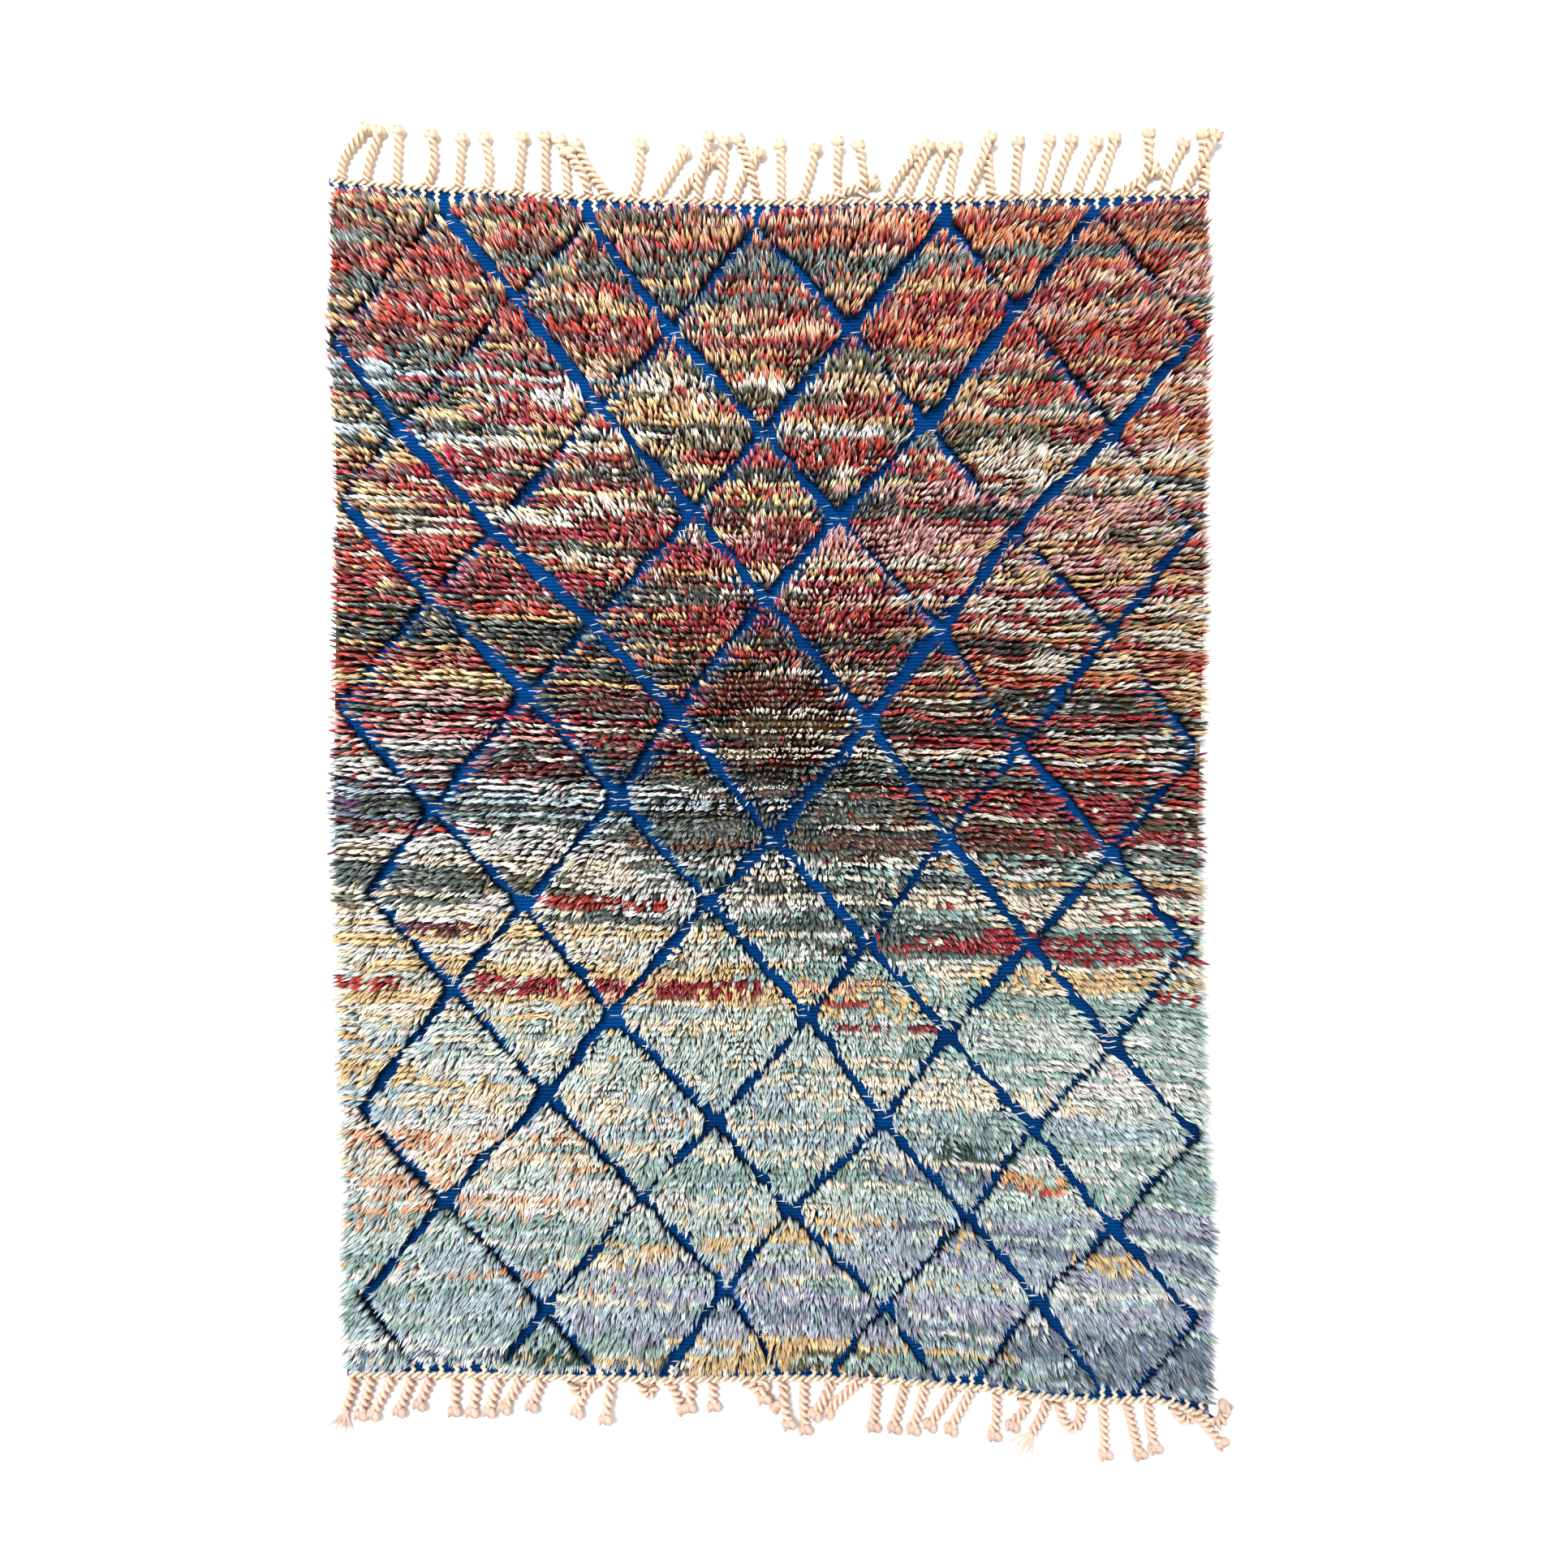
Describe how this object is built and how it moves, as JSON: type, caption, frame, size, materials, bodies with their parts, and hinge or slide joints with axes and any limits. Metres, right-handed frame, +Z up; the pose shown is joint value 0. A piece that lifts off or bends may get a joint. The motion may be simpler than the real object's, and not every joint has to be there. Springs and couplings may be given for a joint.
{
  "type": "beni mrirt rug",
  "caption": "Flat rectangular wool rug with deep knotted pile cut by a recessed diamond lattice, and knotted cord fringe at both ends.",
  "frame": {"origin": "middle of the rug's box, on the floor", "axes": "+Y along the length, towards the end with the longer fringe; +X across the width; +Z up out of the pile"},
  "size_m": [1.5048, 2.2554, 0.041],
  "materials": {
    "pile_wool": "deep cut wool pile in many dyed colours over a blue flat-woven ground",
    "fringe_wool": "undyed cream wool, two-ply twisted cords and twined header"
  },
  "bodies": {
    "root": {"pile_rug": "pile_wool", "fringe_top": "fringe_wool", "fringe_bottom": "fringe_wool"}
  },
  "joints": []
}
